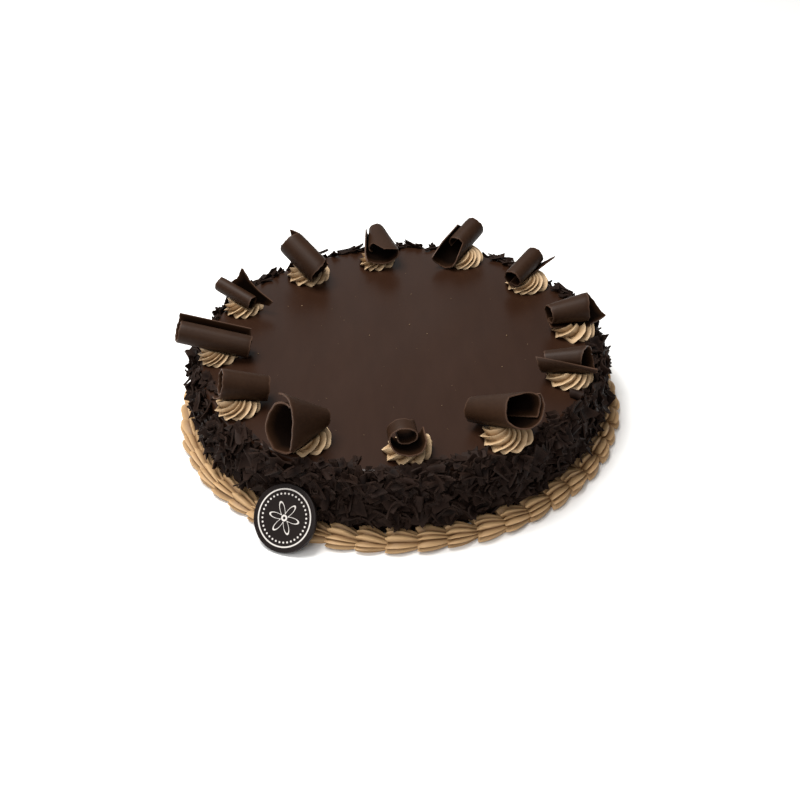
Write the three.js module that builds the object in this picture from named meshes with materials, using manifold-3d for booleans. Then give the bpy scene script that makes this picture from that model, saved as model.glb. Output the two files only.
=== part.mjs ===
// A flourless chocolate torte: a ganache-glazed round cake, chocolate shavings pressed round its
// side, a piped shell border at its foot, twelve piped rosettes, a chocolate curl on each rosette
// and a chocolate disc leaning on the side. Millimetres, +Z up, origin at the middle of the base.
import * as THREE from 'three';
import { ConvexGeometry } from 'three/addons/geometries/ConvexGeometry.js';
import { mergeVertices } from 'three/addons/utils/BufferGeometryUtils.js';
import Module from 'manifold-3d';

const wasm = await Module();
wasm.setup();

// ---------------------------------------------------------------- driving dimensions

const TORTE_HEIGHT = 46;
const TORTE_RADIUS = 121;
const SHOULDER = 4.5;            // round between the flat top and the side
const COAT = 4;                  // how far the packed shavings fill out the side
const CLEARANCE = 0.4;           // between any two pieces
const MERGE = 1e-3;              // corners closer than this are one

const BORDER_SHELLS = 50;
const BORDER_WIDTH = 17.5;
const BORDER_HEIGHT = 11.5;
const SHELL_SPREAD = 0.05;       // a shell is this share larger or smaller at most

const ROSETTE_RADIUS = 14;
const ROSETTE_HEIGHT = 9;
const ROSETTE_RIDGES = 8;

const CURL_THICKNESS = 1.1;
const CURL_FACETS = 18;
const OPENING_LENGTH = 20;       // widen and rise, below, are per this length of the axis

const FLAKE_LENGTH = 13;
const FLAKE_WIDTH = 6.5;
const FLAKE_BEND = 4.5;
const FLAKE_THICKNESS = 1.2;
const FLAKES_IN_ROW = 21;
const FLAKE_ROW_HEIGHTS = [17.5, 23.5, 29.5, 35.5, 41];
const EDGE_FLAKES = { height: TORTE_HEIGHT - 1, radius: TORTE_RADIUS - 1.5, up: 55 };

const PLAQUE_RADIUS = 19.5;
const PLAQUE_THICKNESS = 3;
const PLAQUE_BEVEL = 0.6;
const PLAQUE_LEAN = 50;          // degrees up from the table
const PLAQUE_FOOT = 151;         // distance of its lower edge from the middle of the cake
const PLAQUE_AZIMUTH = -118.5;

// The curls, anticlockwise from the back. seat is the azimuth and radius of the rosette below, and
// cream that rosette's share of ROSETTE_RADIUS; centre is how far the curl's axis lies outward,
// sideways and up from that seat; turn and tilt point the axis; start is where round the axis the
// inner edge lies; bend is the bend radius, at even steps from the inner to the outer edge, over
// wind degrees; flap is the straight outer end; flat presses the roll down; widen opens it along
// the axis. nearCut and farCut say, at shares of the sheet's length from its inner edge, where the
// sheet is cut off along the axis.
const CURLS = [
  { seat: [96.6, 102.2], cream: 0.8, centre: [6.8, -3.3, 12],
    turn: 98, tilt: 0, start: -130, hand: 1,
    bend: [7, 9.5], wind: 400, flap: 10, flat: 0.66, widen: -0.4, rise: 0,
    nearCut: [[0, -7], [0.17, -7], [0.25, -19], [0.33, -18], [0.42, -14], [0.6, -19], [0.78, -18],
      [1, 7]],
    farCut: [[0, 17], [0.8, 17], [1, 9]] },
  { seat: [64.9, 111.1], cream: 0.92, centre: [3.9, 1.6, 14.3],
    turn: 52, tilt: 14, start: -120, hand: 1,
    bend: [5.8, 7.9], wind: 400, flap: 4,
    nearCut: [[0, -7], [0.36, -7], [0.44, -17], [0.55, -22], [0.8, -24], [0.92, -26], [1, -13]],
    farCut: [[0, 15], [0.8, 15], [1, 6]] },
  { seat: [37.1, 109.4], cream: 0.95, centre: [-2.2, 0.3, 13.5],
    turn: 50, tilt: 12, start: 222, hand: -1,
    bend: [5, 6.9], wind: 435, flap: 9,
    nearCut: [[0, -13], [0.76, -13], [0.84, 1], [1, 17.5]],
    farCut: [[0, 14], [0.8, 14], [1, 19.5]] },
  { seat: [4.1, 110.6], cream: 0.93, centre: [-2.6, 1.6, 14],
    turn: 9, tilt: 4, start: 220, hand: -1,
    bend: [6.3, 8.5], wind: 400, flap: 5, widen: 0.3,
    nearCut: [[0, -13], [0.35, -12], [0.6, -14], [1, -13]],
    farCut: [[0, 12], [0.15, 10.5], [0.3, 10.5], [0.56, 13], [0.86, 24.5], [0.94, 15], [1, 10]] },
  { seat: [-22, 109.2], cream: 0.95, centre: [-1.6, 1, 12.7],
    turn: -6, tilt: 6, start: 160, hand: -1,
    bend: [5, 8.4], wind: 485, widen: 0.18, skew: 0.18,
    nearCut: [[0, -13], [0.6, -14], [1, -18.5]],
    farCut: [[0, 8], [0.2, 8], [0.5, 14], [1, 17]] },
  { seat: [-58.3, 112.9], cream: 1, centre: [-7.2, 0.9, 15.6],
    turn: -34, tilt: 20, start: 200, hand: 1,
    bend: [9.2, 11.6], wind: 440, flat: 0.77, widen: 0.24, rise: 0.16,
    nearCut: [[0, -19.5], [1, -19.5]],
    farCut: [[0, 19], [0.18, 19], [0.3, 14], [0.34, 9], [0.55, 12], [0.7, 19], [0.8, 21], [1, 19]] },
  { seat: [-88, 104], cream: 0.97, centre: [3, -1.6, 17],
    turn: 97, tilt: 0, start: 270, hand: -1,
    bend: [4.3, 10.8], wind: 520, flap: 2, flat: 0.8,
    nearCut: [[0, -6], [0.56, -6], [0.7, -11], [0.9, -13.5], [1, -9]],
    farCut: [[0, 7], [0.25, 7], [0.33, 3], [1, 3]] },
  { seat: [-120, 106], cream: 0.95, centre: [1.5, 0.5, 19],
    turn: 26, tilt: -18, start: 5, hand: -1,
    bend: [8.4, 9.2, 11, 13, 3, 14, 14, 9, 8.4], wind: 400, widen: -0.78,
    nearCut: [[0, -12], [0.12, -14.5], [0.3, -16], [0.4, -13], [0.48, -8], [0.53, -3], [0.56, -8],
      [0.62, -13], [0.75, -14], [0.88, -13], [1, -14]],
    farCut: [[0, 15], [1, 15]] },
  { seat: [-148.4, 110.6], cream: 0.93, centre: [-6, -1.3, 13],
    turn: 9, tilt: -16, start: 110, hand: 1,
    bend: [6.4, 8.4], wind: 420, widen: -0.13,
    nearCut: [[0, -14], [0.85, -14], [1, -17]],
    farCut: [[0, 14], [1, 14]] },
  { seat: [-177.8, 110.9], cream: 0.84, centre: [1.2, 0.3, 14],
    turn: -4, tilt: -15, start: -130, hand: 1,
    bend: [5.6, 7.4], wind: 395, flap: 8,
    nearCut: [[0, -21], [0.5, -21], [0.75, -24], [1, -23]],
    farCut: [[0, 23], [0.8, 23], [1, 21]] },
  { seat: [153.3, 111], cream: 0.85, centre: [2.5, 1.9, 12.5],
    turn: -33, tilt: -15, start: -130, hand: 1,
    bend: [3.6, 5.2], wind: 390, flap: 15,
    nearCut: [[0, -14], [0.66, -14], [0.7, -9], [0.8, -5.5], [0.9, -4.2], [1, -4]],
    farCut: [[0, 13], [0.6, 13], [0.68, 23], [0.77, 24], [0.81, 13], [0.88, 4.5], [1, -2.5]] },
  { seat: [123.5, 105], cream: 0.97, centre: [-3.4, 2.4, 17],
    turn: -42, tilt: -28, start: -130, hand: 1,
    bend: [7.7, 9.5], wind: 400,
    nearCut: [[0, -14], [0.5, -16], [0.7, -15], [0.84, -15.5], [0.95, -25], [1, -19]],
    farCut: [[0, 11], [0.22, 11], [0.32, 14.5], [0.6, 14.5], [0.7, 12], [1, 12]] },
];

// ---------------------------------------------------------------- materials

const chocolate = new THREE.MeshStandardMaterial({ color: 0x34211b, roughness: 0.4, metalness: 0 });
const curlChocolate = new THREE.MeshStandardMaterial({ color: 0x3d2a24, roughness: 0.45, metalness: 0 });
const mochaCream = new THREE.MeshStandardMaterial({ color: 0xb08a66, roughness: 0.6, metalness: 0 });
const paleMochaCream = new THREE.MeshStandardMaterial({ color: 0xcaa983, roughness: 0.6, metalness: 0 });
const plaqueChocolate = new THREE.MeshStandardMaterial({ color: 0x1d1413, roughness: 0.4, metalness: 0 });

// ---------------------------------------------------------------- small helpers

const radians = THREE.MathUtils.degToRad;

// Repeatable random draws: each call gives a number between low and high.
function seededRandom(seed) {
  const MULTIPLIER = 1664525;
  const INCREMENT = 1013904223;
  const MODULUS = 4294967296;
  let state = seed;
  return (low, high) => {
    state = (state * MULTIPLIER + INCREMENT) % MODULUS;
    return low + (high - low) * state / MODULUS;
  };
}

// The value at x on straight lines through the points [x, value].
function along(points, x) {
  const last = points.length - 1;
  const next = points.findIndex(([stop]) => stop >= x);
  if (next <= 0) return next === 0 ? points[0][1] : points[last][1];
  const [x0, y0] = points[next - 1];
  const [x1, y1] = points[next];
  return y0 + (y1 - y0) * (x - x0) / (x1 - x0);
}

// A closed mesh from corner points and triangles.
function bodyFrom(corners, triangles) {
  const geometry = new THREE.BufferGeometry();
  const coordinates = corners.flatMap((c) => [c.x, c.y, c.z]);
  geometry.setAttribute('position', new THREE.Float32BufferAttribute(coordinates, 3));
  geometry.setIndex(triangles);
  return geometry;
}

function toSolid(geometry) {
  const bare = geometry.clone();
  bare.deleteAttribute('normal');
  bare.deleteAttribute('uv');
  const merged = mergeVertices(bare, MERGE);
  const mesh = new wasm.Mesh({
    numProp: 3,
    vertProperties: new Float32Array(merged.attributes.position.array),
    triVerts: new Uint32Array(merged.index.array),
  });
  return new wasm.Manifold(mesh);
}

function toGeometry(solid) {
  const { vertProperties, triVerts } = solid.getMesh();
  const geometry = new THREE.BufferGeometry();
  geometry.setAttribute('position', new THREE.BufferAttribute(new Float32Array(vertProperties), 3));
  geometry.setIndex(new THREE.BufferAttribute(new Uint32Array(triVerts), 1));
  return geometry;
}

function pointsOf(solid) {
  const { vertProperties } = solid.getMesh();
  const points = [];
  for (let i = 0; i < vertProperties.length; i += 3) {
    points.push(new THREE.Vector3().fromArray(vertProperties, i));
  }
  return points;
}

// The largest body of a cut or join, without the scraps and with its sealed hollows filled.
function largestBody(solid) {
  const largest = (parts) => parts.reduce((best, part) => (part.volume() > best.volume() ? part : best));
  const joined = toSolid(toGeometry(largest(solid.decompose())));
  return largest(joined.decompose());
}

// The frame of a seat on the top of the torte: its middle, and its outward and sideways directions.
function seatFrame([azimuth, radius]) {
  const out = new THREE.Vector3(Math.cos(radians(azimuth)), Math.sin(radians(azimuth)), 0);
  const side = new THREE.Vector3(-out.y, out.x, 0);
  const middle = out.clone().multiplyScalar(radius).setZ(TORTE_HEIGHT);
  return { out, side, middle };
}

// ---------------------------------------------------------------- curls

// The rolled sheet seen end on, as a fine line of points with the length walked to each. The line
// turns steadily by wind degrees while its bend radius runs through the given radii, and then it
// goes straight on for the flap. The middle of the last bend is at 0, 0.
function rolledLine({ bend, wind, flap = 0 }) {
  const STEPS = 480;
  const turn = radians(wind) / STEPS;
  const radii = bend.map((radius, i) => [i / (bend.length - 1), radius]);
  const line = [{ up: 0, across: 0, walked: 0 }];
  for (let i = 1; i <= STEPS; i += 1) {
    const before = line[i - 1];
    const step = along(radii, (i - 0.5) / STEPS) * turn;
    const angle = (i - 0.5) * turn;
    line.push({
      up: before.up - Math.sin(angle) * step,
      across: before.across + Math.cos(angle) * step,
      walked: before.walked + step,
    });
  }
  const end = line[STEPS];
  const lastBend = bend[bend.length - 1];
  const shiftUp = lastBend * Math.cos(radians(wind)) - end.up;
  const shiftAcross = lastBend * Math.sin(radians(wind)) - end.across;
  line.push({
    up: end.up - Math.sin(radians(wind)) * flap,
    across: end.across + Math.cos(radians(wind)) * flap,
    walked: end.walked + flap,
  });
  return line.map((p) => ({ up: p.up + shiftUp, across: p.across + shiftAcross, walked: p.walked }));
}

// The point of the rolled line at a share of its length, and the direction square to it there.
function rolledPoint(line, share) {
  const walked = share * line[line.length - 1].walked;
  const next = Math.max(1, line.findIndex((p) => p.walked >= walked - 1e-9));
  const [a, b] = [line[next - 1], line[next]];
  const t = b.walked > a.walked ? (walked - a.walked) / (b.walked - a.walked) : 0;
  const length = Math.hypot(b.up - a.up, b.across - a.across) || 1;
  return {
    up: a.up + (b.up - a.up) * t,
    across: a.across + (b.across - a.across) * t,
    outUp: (b.across - a.across) / length,
    outAcross: -(b.up - a.up) / length,
  };
}

// The corner points of a curl: for each share of the sheet's length, the outer and inner face at
// the near cut and at the far cut.
function curlCorners(curl, thickness, extra) {
  const { flat = 1, widen = 0, rise = widen, skew = 0, hand } = curl;
  const { out, side, middle } = seatFrame(curl.seat);
  const centre = middle.clone().addScaledVector(out, curl.centre[0]).addScaledVector(side, curl.centre[1]);
  centre.z += curl.centre[2];
  const axis = new THREE.Vector3(
    Math.cos(radians(curl.tilt)) * Math.cos(radians(curl.turn)),
    Math.cos(radians(curl.tilt)) * Math.sin(radians(curl.turn)),
    Math.sin(radians(curl.tilt)),
  );
  const up = new THREE.Vector3(0, 0, 1).addScaledVector(axis, -axis.z).normalize();
  const across = new THREE.Vector3().crossVectors(axis, up);
  const line = rolledLine(curl);
  const start = radians(curl.start);
  const stops = [...curl.nearCut, ...curl.farCut].map(([share]) => share);
  const facet = 1 / CURL_FACETS;
  const even = Array.from({ length: CURL_FACETS + 1 }, (_, i) => i * facet);
  const free = even.filter((share) => stops.every((stop) => Math.abs(stop - share) > 0.3 * facet));
  const shares = [...new Set([...free, ...stops])].sort((a, b) => a - b);

  function corner(share, far, face) {
    const reach = far ? along(curl.farCut, share) + extra : along(curl.nearCut, share) - extra;
    const p = rolledPoint(line, share * (far ? 1 - skew : 1));
    const lineUp = p.up + p.outUp * face * thickness / 2;
    const lineAcross = (p.across + p.outAcross * face * thickness / 2) * hand;
    const turnedUp = lineUp * Math.cos(start) - lineAcross * Math.sin(start);
    const turnedAcross = lineUp * Math.sin(start) + lineAcross * Math.cos(start);
    return centre.clone()
      .addScaledVector(axis, reach)
      .addScaledVector(up, turnedUp * flat * (1 + rise * reach / OPENING_LENGTH))
      .addScaledVector(across, turnedAcross * (1 + widen * reach / OPENING_LENGTH));
  }
  return shares.map((share) => [
    corner(share, false, 1), corner(share, true, 1), corner(share, true, -1), corner(share, false, -1),
  ]);
}

// A thin closed sheet from its rows of four corners.
function curlGeometry(curl) {
  const rows = curlCorners(curl, CURL_THICKNESS, 0);
  const triangles = [];
  for (let i = 0; i < rows.length - 1; i += 1) {
    for (let j = 0; j < 4; j += 1) {
      const [a, b] = [i * 4 + j, i * 4 + (j + 1) % 4];
      triangles.push(a, b, b + 4, a, b + 4, a + 4);
    }
  }
  const last = (rows.length - 1) * 4;
  triangles.push(0, 2, 1, 0, 3, 2, last, last + 1, last + 2, last, last + 2, last + 3);
  if (curl.hand > 0) triangles.reverse();
  return bodyFrom(rows.flat(), triangles);
}

// The space that a curl takes up, its hollow filled, with the clearance round it.
function curlSpace(curl) {
  const rows = curlCorners(curl, CURL_THICKNESS + 2 * CLEARANCE, CLEARANCE);
  return toSolid(new ConvexGeometry(rows.flat()));
}

// ---------------------------------------------------------------- rosettes

// A rosette is rings of points, each turned on from the one below, so that the ridges wind round.
// wide and high are shares of its radius and height, and groove of the radius there.
function rosetteGeometry({ seat, cream }, random) {
  const { middle } = seatFrame(seat);
  const foot = middle.z + CLEARANCE;
  const turned = random(0, 2 * Math.PI);
  const rings = [
    { wide: 0.9, high: 0, groove: 0.1, twist: 0 },
    { wide: 1, high: 0.3, groove: 0.17, twist: 0.35 },
    { wide: 0.74, high: 0.8, groove: 0.15, twist: 0.9 },
    { wide: 0.4, high: 1, groove: 0.12, twist: 1.5 },
  ];
  const POINTS = 2 * ROSETTE_RIDGES;
  const corners = [];
  for (const { wide, high, groove, twist } of rings) {
    for (let i = 0; i < POINTS; i += 1) {
      const angle = turned + twist + 2 * Math.PI * i / POINTS;
      const radius = ROSETTE_RADIUS * cream * wide * (1 - (i % 2) * groove);
      corners.push(new THREE.Vector3(
        middle.x + radius * Math.cos(angle),
        middle.y + radius * Math.sin(angle),
        foot + ROSETTE_HEIGHT * high,
      ));
    }
  }
  const bottom = corners.push(new THREE.Vector3(middle.x, middle.y, foot)) - 1;
  const top = corners.push(new THREE.Vector3(middle.x, middle.y, foot + ROSETTE_HEIGHT)) - 1;
  const triangles = [];
  for (let i = 0; i < POINTS; i += 1) {
    const next = (i + 1) % POINTS;
    for (let ring = 0; ring < rings.length - 1; ring += 1) {
      const [a, b] = [ring * POINTS + i, ring * POINTS + next];
      triangles.push(a, b, b + POINTS, a, b + POINTS, a + POINTS);
    }
    const rim = (rings.length - 1) * POINTS;
    triangles.push(bottom, next, i, rim + i, rim + next, top);
  }
  return bodyFrom(corners, triangles);
}

// The space that a rosette takes up, down to the top of the torte.
function rosetteSpace(solid) {
  const FOOT_SPACE = 1.5;
  const points = pointsOf(solid);
  const lowered = points.map((p) => p.clone().setZ(p.z - FOOT_SPACE));
  return toSolid(new ConvexGeometry([...points, ...lowered]));
}

// ---------------------------------------------------------------- border

// One ring of shells. Each shell swells fast from the tail of the one before and then tapers, and
// its ridges run along the ring. The inside is straight, against the side of the torte.
function borderGeometry(random) {
  const INSIDE = TORTE_RADIUS + CLEARANCE;
  const SWELL = [0.74, 1, 0.93];
  const ARCH = 8;
  const steps = BORDER_SHELLS * SWELL.length;
  const corners = [];
  let shellSize = 1;
  for (let i = 0; i < steps; i += 1) {
    if (i % SWELL.length === 0) shellSize = random(1 - SHELL_SPREAD, 1 + SHELL_SPREAD);
    const swell = SWELL[i % SWELL.length] * (i % SWELL.length ? shellSize : 1);
    const azimuth = 2 * Math.PI * i / steps;
    for (let j = 0; j <= ARCH; j += 1) {
      const angle = Math.PI * j / ARCH;
      const ridge = j % 2 || j === 0 || j === ARCH ? 1 : 0.9;
      const radius = INSIDE + BORDER_WIDTH * swell * (1 - Math.cos(angle) * ridge) / 2;
      const height = j === ARCH ? 0 : BORDER_HEIGHT * Math.min(1, swell) * Math.sin(angle) * ridge;
      corners.push(new THREE.Vector3(radius * Math.cos(azimuth), radius * Math.sin(azimuth), height));
    }
  }
  const points = ARCH + 1;
  const triangles = [];
  for (let i = 0; i < steps; i += 1) {
    const next = (i + 1) % steps;
    for (let j = 0; j < points; j += 1) {
      const across = (j + 1) % points;
      const [a, b] = [i * points + j, i * points + across];
      const [c, d] = [next * points + across, next * points + j];
      triangles.push(a, b, c, a, c, d);
    }
  }
  return bodyFrom(corners, triangles);
}

// ---------------------------------------------------------------- plaque

function discGeometry(extra) {
  const radius = PLAQUE_RADIUS + extra;
  const half = PLAQUE_THICKNESS / 2 + extra;
  const profile = [
    [0, -half], [radius - PLAQUE_BEVEL, -half], [radius, PLAQUE_BEVEL - half],
    [radius, half - PLAQUE_BEVEL], [radius - PLAQUE_BEVEL, half], [0, half],
  ];
  return new THREE.LatheGeometry(profile.map(([x, y]) => new THREE.Vector2(x, y)), 28);
}

// The disc stands on its lower edge and leans inward on the side of the torte.
function placePlaque(object) {
  const lean = radians(PLAQUE_LEAN);
  const out = seatFrame([PLAQUE_AZIMUTH, 1]).out;
  const rise = PLAQUE_RADIUS * Math.sin(lean) + (PLAQUE_THICKNESS / 2 - PLAQUE_BEVEL) * Math.cos(lean);
  object.position.copy(out).multiplyScalar(PLAQUE_FOOT - PLAQUE_RADIUS * Math.cos(lean)).setZ(rise);
  const face = out.clone().multiplyScalar(Math.sin(lean)).setZ(Math.cos(lean));
  object.quaternion.setFromUnitVectors(new THREE.Vector3(0, 1, 0), face);
  object.updateMatrix();
}

// ---------------------------------------------------------------- torte and shavings

// The core is rings of points up the side and in over the round shoulder. The side stands out
// unevenly where shavings are packed on it.
function torteCore(random) {
  const COLUMNS = 60;
  const underCoat = BORDER_HEIGHT + CLEARANCE;
  const coatTop = TORTE_HEIGHT - SHOULDER;
  const rings = [{ radius: TORTE_RADIUS, z: 0 }, { radius: TORTE_RADIUS, z: underCoat }];
  for (const share of [0.15, 0.4, 0.65, 0.9]) {
    rings.push({ radius: TORTE_RADIUS + COAT, z: underCoat + share * (coatTop - underCoat), uneven: COAT });
  }
  for (const degrees of [15, 45, 75, 90]) {
    rings.push({
      radius: TORTE_RADIUS - SHOULDER + SHOULDER * Math.cos(radians(degrees)),
      z: coatTop + SHOULDER * Math.sin(radians(degrees)),
    });
  }
  const corners = [];
  rings.forEach(({ radius, z, uneven = 0 }, row) => {
    for (let i = 0; i < COLUMNS; i += 1) {
      const azimuth = 2 * Math.PI * (i + (row % 2) / 2) / COLUMNS;
      const reach = radius + uneven * random(-0.5, 0.5);
      const height = z + uneven * random(-0.25, 0.25);
      corners.push(new THREE.Vector3(reach * Math.cos(azimuth), reach * Math.sin(azimuth), height));
    }
  });
  const bottom = corners.push(new THREE.Vector3(0, 0, 0)) - 1;
  const top = corners.push(new THREE.Vector3(0, 0, TORTE_HEIGHT)) - 1;
  const rim = (rings.length - 1) * COLUMNS;
  const triangles = [];
  for (let i = 0; i < COLUMNS; i += 1) {
    const next = (i + 1) % COLUMNS;
    for (let row = 0; row < rings.length - 1; row += 1) {
      const [a, b] = [row * COLUMNS + i, row * COLUMNS + next];
      const [c, d] = [a + COLUMNS, b + COLUMNS];
      if (row % 2) triangles.push(a, b, d, a, d, c);
      else triangles.push(a, b, c, b, d, c);
    }
    triangles.push(bottom, next, i, rim + i, rim + next, top);
  }
  return bodyFrom(corners, triangles);
}

// A shaving is a short strip bent across its width, cut slantwise at its ends.
function flakeGeometry(length, width, slant) {
  const ACROSS = 2;
  const bend = width / FLAKE_BEND;
  const corners = [];
  for (let i = 0; i <= ACROSS; i += 1) {
    const angle = (i / ACROSS - 0.5) * bend;
    const lean = (i / ACROSS - 0.5) * slant;
    const row = [[-1, 1], [1, 1], [1, -1], [-1, -1]].map(([end, face]) => {
      const radius = FLAKE_BEND + face * FLAKE_THICKNESS / 2;
      return new THREE.Vector3(
        end * length / 2 + lean * end,
        radius * Math.sin(angle),
        radius * Math.cos(angle) - FLAKE_BEND,
      );
    });
    corners.push(...row);
  }
  const triangles = [];
  for (let i = 0; i < ACROSS; i += 1) {
    for (let j = 0; j < 4; j += 1) {
      const [a, b] = [i * 4 + j, i * 4 + (j + 1) % 4];
      triangles.push(a, b, b + 4, a, b + 4, a + 4);
    }
  }
  const last = ACROSS * 4;
  triangles.push(0, 2, 1, 0, 3, 2, last, last + 1, last + 2, last, last + 2, last + 3);
  return bodyFrom(corners, triangles);
}

// The shavings lie every way round the side and over the top edge. One that would cross a
// rosette, a curl, the border or the plaque is left out.
function shavings(random, keepClear) {
  const EMPTY = 1e-6;
  const flakes = [];
  const rows = FLAKE_ROW_HEIGHTS.map((height) => ({ height, radius: TORTE_RADIUS + COAT, up: 0 }));
  rows.push(EDGE_FLAKES);
  rows.forEach(({ height, radius, up }, row) => {
    for (let i = 0; i < FLAKES_IN_ROW; i += 1) {
      const azimuth = 360 * (i + row / 2 + random(-0.35, 0.35)) / FLAKES_IN_ROW;
      const length = FLAKE_LENGTH * random(0.8, 1.15);
      const width = FLAKE_WIDTH * random(0.8, 1.2);
      const geometry = flakeGeometry(length, width, random(-2, 2));
      const standOff = random(0.4, 1.8);
      geometry.rotateZ(random(0, 2 * Math.PI));
      geometry.rotateY(radians(random(-32, 32)));
      geometry.rotateX(radians(random(-30, 30)));
      const outward = radians(90 - up);
      geometry.rotateY(outward);
      geometry.translate(
        radius + standOff * Math.sin(outward), 0, height + random(-1, 1) + standOff * Math.cos(outward));
      geometry.rotateZ(radians(azimuth));
      const flake = toSolid(geometry);
      if (keepClear.intersect(flake).volume() < EMPTY) flakes.push(flake);
    }
  });
  return flakes;
}

// The ring of space that the border takes up, with the clearance over it.
function borderSpace() {
  const inside = TORTE_RADIUS - CLEARANCE;
  const outside = TORTE_RADIUS + BORDER_WIDTH * (1 + SHELL_SPREAD) + 2 * CLEARANCE;
  const top = BORDER_HEIGHT + CLEARANCE / 2;
  const section = [[inside, -1], [outside, -1], [outside, top], [inside, top], [inside, -1]];
  const lathe = new THREE.LatheGeometry(section.map(([x, y]) => new THREE.Vector2(x, y)), 72);
  lathe.rotateX(Math.PI / 2);
  return toSolid(lathe);
}

// ---------------------------------------------------------------- the torte put together

const torte = new THREE.Group();

function add(name, geometry, material) {
  const mesh = new THREE.Mesh(geometry, material);
  mesh.name = name;
  torte.add(mesh);
  return mesh;
}

const number = (index) => String(index + 1).padStart(2, '0');
const rosetteRandom = seededRandom(11);
const rosetteSolids = CURLS.map((curl) => toSolid(rosetteGeometry(curl, rosetteRandom)));
const curlSpaces = CURLS.map(curlSpace);

const plaque = add('plaque', discGeometry(0), plaqueChocolate);
placePlaque(plaque);
const plaqueSpace = toSolid(discGeometry(CLEARANCE).applyMatrix4(plaque.matrix));
const rosetteSpaces = rosetteSolids.map(rosetteSpace);
const keepClear = wasm.Manifold.union([plaqueSpace, borderSpace(), ...curlSpaces, ...rosetteSpaces]);
const flakes = shavings(seededRandom(7), keepClear);
const core = toSolid(torteCore(seededRandom(5))).subtract(plaqueSpace);
add('torte', toGeometry(largestBody(wasm.Manifold.union([core, ...flakes]))), chocolate);
add('shell_border', borderGeometry(seededRandom(3)), mochaCream);

CURLS.forEach((curl, index) => {
  const pressed = largestBody(rosetteSolids[index].subtract(curlSpaces[index]));
  add(`rosette_${number(index)}`, toGeometry(pressed), paleMochaCream);
  add(`curl_${number(index)}`, curlGeometry(curl), curlChocolate);
});

export default torte;
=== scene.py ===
from math import cos, pi, radians, sin

import bpy
import numpy as np
from mathutils import Matrix, Vector


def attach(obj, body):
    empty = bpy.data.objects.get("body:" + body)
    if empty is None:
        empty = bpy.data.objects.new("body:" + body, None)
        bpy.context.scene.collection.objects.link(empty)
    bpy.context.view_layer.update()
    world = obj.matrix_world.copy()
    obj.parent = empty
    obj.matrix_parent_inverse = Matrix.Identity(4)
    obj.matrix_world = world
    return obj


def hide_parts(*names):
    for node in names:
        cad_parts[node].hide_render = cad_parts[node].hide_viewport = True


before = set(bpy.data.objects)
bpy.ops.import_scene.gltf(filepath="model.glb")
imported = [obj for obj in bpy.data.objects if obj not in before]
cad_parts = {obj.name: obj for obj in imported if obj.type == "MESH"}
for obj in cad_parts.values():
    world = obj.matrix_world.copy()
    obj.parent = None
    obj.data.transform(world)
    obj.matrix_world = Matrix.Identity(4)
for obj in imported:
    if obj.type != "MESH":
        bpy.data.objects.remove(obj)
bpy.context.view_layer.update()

# ---------------------------------------------------------------- camera, light and floor
# The torte stands on a plain pale floor and is seen from in front and above, under broad soft
# lights. All lengths in this script are millimetres, and MM brings them to Blender's metres.

MM = 0.001
CAMERA_TARGET = np.array([0.42, -5.45, 7.75])
CAMERA_DISTANCE = 800.0
CAMERA_ELEVATION = radians(36.79)
CAMERA_ROLL = radians(-2.26)
CAMERA_LENS = 56.63
WORLD_STRENGTH = 0.29
FLOOR_SIZE = 12000.0
FLOOR_COLOUR = (0.93, 0.93, 0.925)
FLOOR_ROUGHNESS = 0.7

bpy.context.scene.view_settings.view_transform = "Standard"

towards_camera = np.array([0.0, -cos(CAMERA_ELEVATION), sin(CAMERA_ELEVATION)])
level_right = np.array([1.0, 0.0, 0.0])
level_up = np.cross(towards_camera, level_right)
camera_right = cos(CAMERA_ROLL) * level_right + sin(CAMERA_ROLL) * level_up
camera_up = np.cross(towards_camera, camera_right)
camera_place = (CAMERA_TARGET + CAMERA_DISTANCE * towards_camera) * MM

camera = bpy.data.objects.new("camera", bpy.data.cameras.new("camera"))
camera.data.lens = CAMERA_LENS
turned = Matrix(np.column_stack([camera_right, camera_up, towards_camera]).tolist())
camera.matrix_world = Matrix.Translation(Vector(camera_place)) @ turned.to_4x4()
bpy.context.scene.collection.objects.link(camera)
bpy.context.scene.camera = camera


def soft_light(name, place, size, watts, colour):
    """A square area light at place, pointing at the middle of the torte."""
    data = bpy.data.lights.new(name, "AREA")
    data.size = size * MM
    data.energy = watts
    data.color = colour
    light = bpy.data.objects.new(name, data)
    light.location = Vector(place) * MM
    light.rotation_euler = light.location.to_track_quat("Z", "Y").to_euler()
    bpy.context.scene.collection.objects.link(light)


soft_light("key_light", (-320, 160, 1250), size=700, watts=25, colour=(1.0, 0.985, 0.96))
soft_light("fill_light", (-450, -950, 1200), size=900, watts=10, colour=(1.0, 0.99, 0.975))
soft_light("back_light", (-250, 1250, 420), size=900, watts=0.9, colour=(1.0, 0.99, 0.98))

world = bpy.data.worlds.new("studio")
world.use_nodes = True
sky = world.node_tree.nodes["Background"]
sky.inputs["Color"].default_value = (1.0, 1.0, 1.0, 1.0)
sky.inputs["Strength"].default_value = WORLD_STRENGTH
bpy.context.scene.world = world

floor_mesh = bpy.data.meshes.new("floor")
half_floor = FLOOR_SIZE * MM / 2
floor_mesh.from_pydata(
    [(-half_floor, -half_floor, 0), (half_floor, -half_floor, 0),
     (half_floor, half_floor, 0), (-half_floor, half_floor, 0)],
    [], [(0, 1, 2, 3)])
floor = bpy.data.objects.new("floor", floor_mesh)
floor_paint = bpy.data.materials.new("floor_paint")
floor_paint.use_nodes = True
floor_shader = floor_paint.node_tree.nodes["Principled BSDF"]
floor_shader.inputs["Base Color"].default_value = (*FLOOR_COLOUR, 1)
floor_shader.inputs["Roughness"].default_value = FLOOR_ROUGHNESS
floor_mesh.materials.append(floor_paint)
bpy.context.scene.collection.objects.link(floor)

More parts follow.
